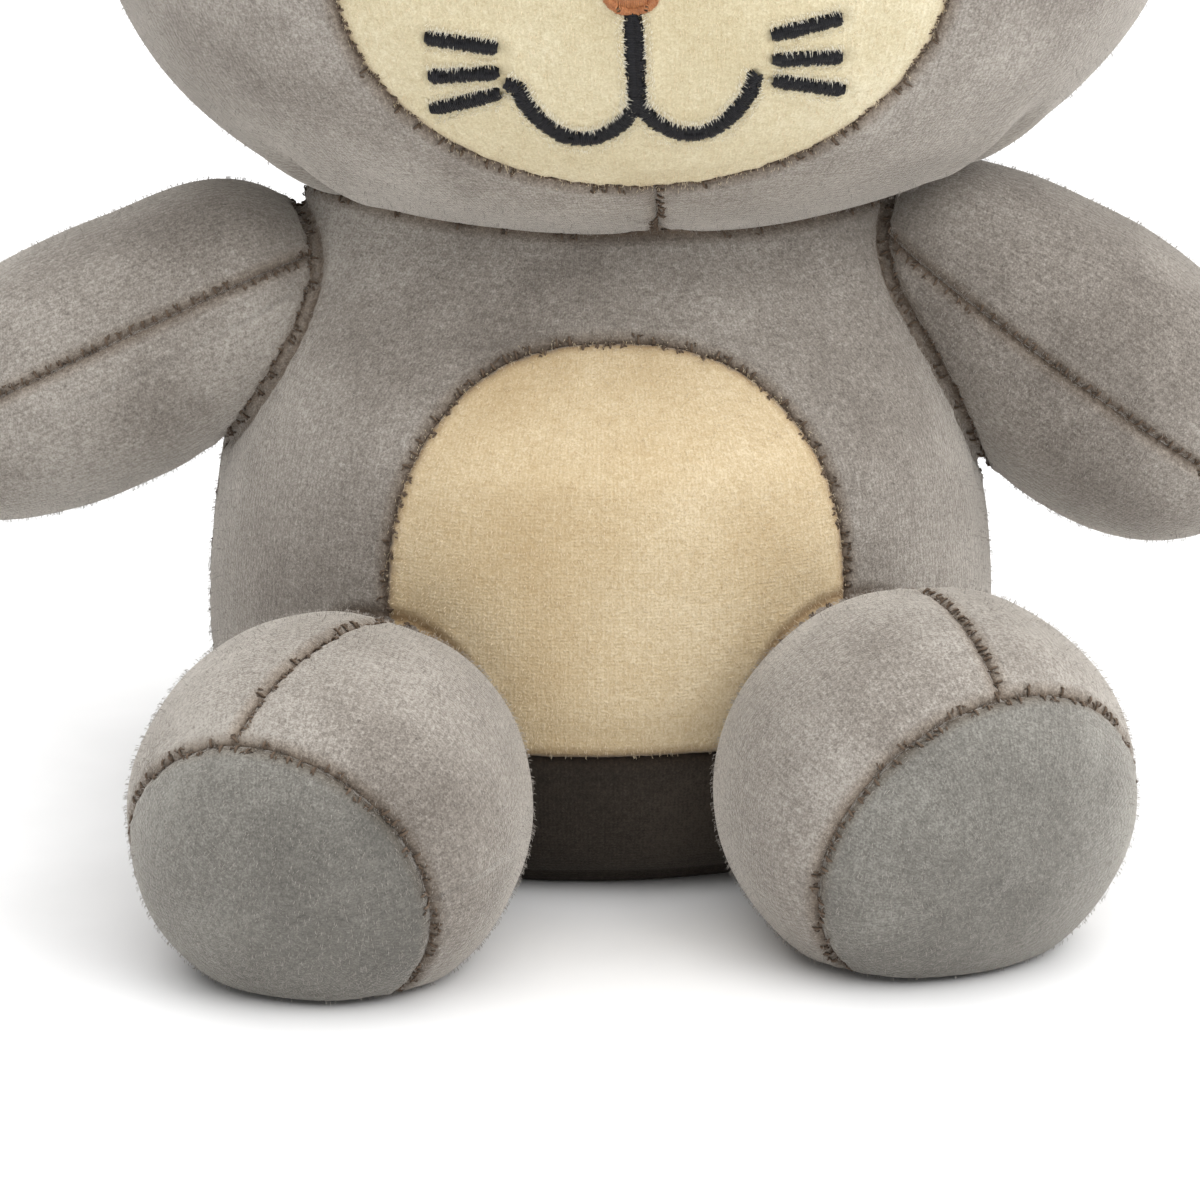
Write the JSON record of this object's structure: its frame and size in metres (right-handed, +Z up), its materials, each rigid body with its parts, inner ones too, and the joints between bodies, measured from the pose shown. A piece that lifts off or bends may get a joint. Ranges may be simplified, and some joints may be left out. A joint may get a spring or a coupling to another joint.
{
  "type": "plush cat",
  "caption": "Sitting plush cat with a wide round head, cream muzzle and tummy, outstretched arms, splayed stub legs, folding ears and a short tail, all hinged where they are sewn.",
  "frame": {"origin": "middle of the flat seat, on the surface the cat sits on", "axes": "+Z up, the face looks towards -Y, +X is the cat's left-hand side"},
  "size_m": [0.2964, 0.2789, 0.3176],
  "materials": {
    "grey_plush": "short-pile plush, fine vertical rib, soft sheen",
    "cream_plush": "short-pile plush, cream, soft sheen",
    "base_plush": "short-pile plush, darker taupe",
    "black_thread": "satin-stitched rayon thread",
    "brown_thread": "satin-stitched rayon thread",
    "fibre_fill": "loose polyester fibre, matte",
    "pellet_cloth": "plain woven inner bag, matte"
  },
  "bodies": {
    "torso": {"torso_front_panel": "grey_plush", "tummy_panel": "cream_plush", "torso_back_right": "grey_plush", "torso_back_left": "grey_plush", "base_panel": "base_plush", "torso_stuffing": "fibre_fill", "pellet_bag": "pellet_cloth"},
    "head": {"head_front_right": "grey_plush", "head_front_left": "grey_plush", "muzzle_panel": "cream_plush", "head_back_right": "grey_plush", "head_back_left": "grey_plush", "head_stuffing": "fibre_fill", "nose": "brown_thread", "mouth": "black_thread", "whiskers_right": "black_thread", "whiskers_left": "black_thread", "eye_right": "black_thread", "eye_left": "black_thread"},
    "ear_right": {"ear_right_front": "cream_plush", "ear_right_back": "grey_plush"},
    "ear_left": {"ear_left_front": "cream_plush", "ear_left_back": "grey_plush"},
    "arm_right": {"arm_right_upper": "grey_plush", "arm_right_under": "grey_plush", "arm_right_stuffing": "fibre_fill"},
    "arm_left": {"arm_left_upper": "grey_plush", "arm_left_under": "grey_plush", "arm_left_stuffing": "fibre_fill"},
    "leg_right": {"leg_right_outer": "grey_plush", "leg_right_inner": "grey_plush", "leg_right_sole": "grey_plush", "leg_right_stuffing": "fibre_fill"},
    "leg_left": {"leg_left_outer": "grey_plush", "leg_left_inner": "grey_plush", "leg_left_sole": "grey_plush", "leg_left_stuffing": "fibre_fill"},
    "tail": {"tail_right": "grey_plush", "tail_left": "grey_plush", "tail_stuffing": "fibre_fill"}
  },
  "joints": [
    {"name": "head_nod", "type": "hinge", "parent": "torso", "child": "head", "pos_m": [0.008, 0.002, 0.2], "axis": [0.9969, -0.0592, 0.0523], "range_deg": [-10, 12], "stiffness_Nm_per_rad": 1.5},
    {"name": "ear_right_fold", "type": "hinge", "parent": "head", "child": "ear_right", "pos_m": [-0.0588, 0.00998, 0.2672], "axis": [0.894, -0.0531, 0.445], "range_deg": [-20, 35], "stiffness_Nm_per_rad": 0.05},
    {"name": "ear_left_fold", "type": "hinge", "parent": "head", "child": "ear_left", "pos_m": [0.0679, 0.00245, 0.27385], "axis": [0.9355, -0.0556, -0.3489], "range_deg": [-20, 35], "stiffness_Nm_per_rad": 0.05},
    {"name": "arm_right_raise", "type": "hinge", "parent": "torso", "child": "arm_right", "pos_m": [-0.07358, -0.002, 0.105], "axis": [0, 1, 0], "range_deg": [-12, 40], "stiffness_Nm_per_rad": 0.4},
    {"name": "arm_left_raise", "type": "hinge", "parent": "torso", "child": "arm_left", "pos_m": [0.07279, -0.002, 0.107], "axis": [0, -1, 0], "range_deg": [-4, 40], "stiffness_Nm_per_rad": 0.4},
    {"name": "leg_right_lift", "type": "hinge", "parent": "torso", "child": "leg_right", "pos_m": [-0.04802, -0.05919, 0.038], "axis": [-0.9588, 0.284, 0], "range_deg": [-25, 30], "stiffness_Nm_per_rad": 0.8},
    {"name": "leg_left_lift", "type": "hinge", "parent": "torso", "child": "leg_left", "pos_m": [0.04802, -0.05919, 0.038], "axis": [-0.9483, -0.3173, 0], "range_deg": [-25, 30], "stiffness_Nm_per_rad": 0.8},
    {"name": "tail_lift", "type": "hinge", "parent": "torso", "child": "tail", "pos_m": [0, 0.07387, 0.03], "axis": [1, 0, 0], "range_deg": [-30, 25], "stiffness_Nm_per_rad": 0.1}
  ]
}
